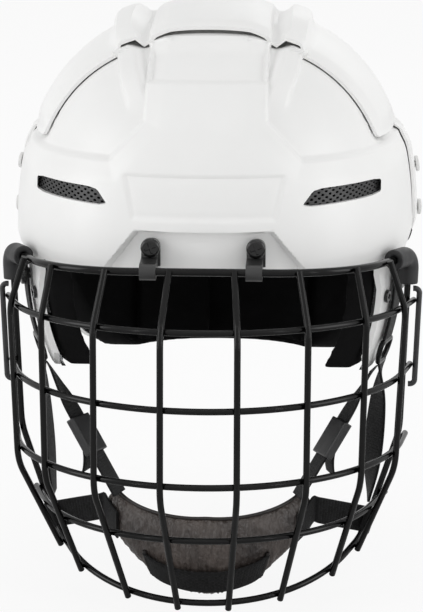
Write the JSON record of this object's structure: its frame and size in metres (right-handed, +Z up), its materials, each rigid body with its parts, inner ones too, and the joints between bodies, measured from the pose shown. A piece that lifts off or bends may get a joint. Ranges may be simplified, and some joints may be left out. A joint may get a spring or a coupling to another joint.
{
  "type": "ice hockey helmet",
  "caption": "Two-piece ice hockey helmet with foam lining, clear ear guards, vents and a hinged full wire face cage with chin cup and straps.",
  "frame": {"origin": "middle of the head opening, level with the brow edge", "axes": "the face looks along -Y, +X is the wearer's left, +Z is up"},
  "size_m": [0.2322, 0.307, 0.3163],
  "materials": {
    "shell_gloss": "gloss",
    "foam": "matte",
    "vent_mesh": "matte",
    "clear_guard": "clear",
    "screw_steel": "gloss",
    "nut_steel": "satin",
    "adjuster_plastic": "satin",
    "clip_plastic": "satin",
    "loop_wire": "satin",
    "cage_wire": "satin",
    "cap_rubber": "matte",
    "cup_vinyl": "satin",
    "ring_metal": "satin",
    "snap_metal": "satin",
    "slider_plastic": "satin",
    "webbing": "woven"
  },
  "bodies": {
    "helmet": {"adjuster_nuts": "nut_steel", "adjuster_screws": "adjuster_plastic", "brow_pad": "foam", "cage_clip_left": "clip_plastic", "cage_clip_nuts": "nut_steel", "cage_clip_right": "clip_plastic", "cage_clip_screws": "screw_steel", "ear_guard_left": "clear_guard", "ear_guard_right": "clear_guard", "ear_guard_screws": "screw_steel", "front_liner": "foam", "front_shell": "shell_gloss", "side_liner_left": "foam", "side_liner_right": "foam", "snap_studs": "snap_metal", "temple_pad_left": "foam", "temple_pad_right": "foam", "vent_mesh_left": "vent_mesh", "vent_mesh_right": "vent_mesh"},
    "rear": {"rear_shell": "shell_gloss", "rear_liner": "foam", "nape_pads": "foam"},
    "cage": {"cage_cross_wire_1": "cage_wire", "cage_cross_wire_2": "cage_wire", "cage_cross_wire_3": "cage_wire", "cage_cross_wire_4": "cage_wire", "cage_rim_wire": "cage_wire", "cage_side_loop_left": "loop_wire", "cage_side_loop_right": "loop_wire", "cage_top_bar": "cage_wire", "cage_upright_left_1": "cage_wire", "cage_upright_left_2": "cage_wire", "cage_upright_left_3": "cage_wire", "cage_upright_left_4": "cage_wire", "cage_upright_right_1": "cage_wire", "cage_upright_right_2": "cage_wire", "cage_upright_right_3": "cage_wire", "cage_upright_right_4": "cage_wire", "chin_cup": "cup_vinyl", "d_ring_left": "ring_metal", "d_ring_right": "ring_metal", "hanger_web_left": "webbing", "hanger_web_right": "webbing", "jaw_web_left": "webbing", "jaw_web_right": "webbing", "side_web_left": "webbing", "side_web_right": "webbing", "sling_web": "webbing", "snap_cap_left": "snap_metal", "snap_cap_right": "snap_metal", "snap_web_left": "webbing", "snap_web_right": "webbing", "temple_cap_left": "cap_rubber", "temple_cap_right": "cap_rubber"},
    "slider_left": {"strap_slider_left": "slider_plastic"},
    "slider_right": {"strap_slider_right": "slider_plastic"}
  },
  "joints": [
    {"name": "rear_slide", "type": "slide", "parent": "helmet", "child": "rear", "axis": [0, 1, 0], "range_m": [0, 0.012]},
    {"name": "cage_hinge", "type": "hinge", "parent": "helmet", "child": "cage", "pos_m": [0, -0.135, 0.004], "axis": [-1, 0, 0], "range_deg": [0, 100]},
    {"name": "slider_left_slide", "type": "slide", "parent": "cage", "child": "slider_left", "axis": [-0.502, -0.2653, -0.8232], "range_m": [-0.01, 0.012]},
    {"name": "slider_right_slide", "type": "slide", "parent": "cage", "child": "slider_right", "axis": [0.502, -0.2653, -0.8232], "range_m": [-0.01, 0.012]}
  ]
}
